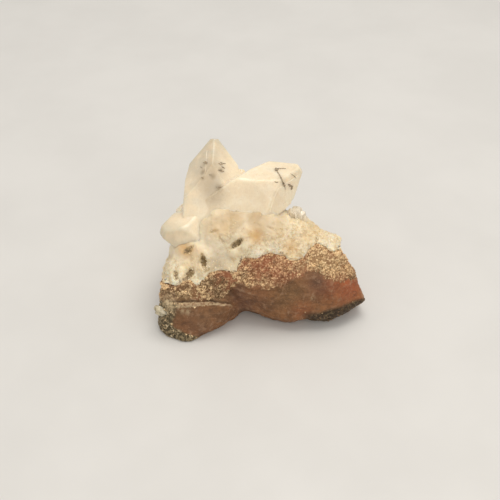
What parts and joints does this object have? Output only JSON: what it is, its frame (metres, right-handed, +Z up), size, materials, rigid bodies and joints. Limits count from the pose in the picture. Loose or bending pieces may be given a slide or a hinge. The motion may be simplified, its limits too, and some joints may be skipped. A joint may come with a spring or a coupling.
{
  "type": "apophyllite cluster",
  "caption": "Clear to milky apophyllite crystals on a cream drusy crust over brown matrix rock, standing on a flat spot.",
  "frame": {"origin": "on the rest plane, under the middle of the bounding box", "axes": "+Z up from the rest plane, +X to the right along the front and -Y out of the front"},
  "size_m": [0.0648, 0.0434, 0.047],
  "materials": {
    "brown_rock": "matte",
    "cream_druse": "matte",
    "milky_apophyllite": "gloss",
    "clear_apophyllite": "polished"
  },
  "bodies": {
    "root": {"matrix_rock": "brown_rock", "drusy_crust": "cream_druse", "intergrown_crystals": "milky_apophyllite", "small_clear_crystals": "clear_apophyllite", "rim_crystals": "clear_apophyllite", "back_pair": "milky_apophyllite"}
  },
  "joints": []
}
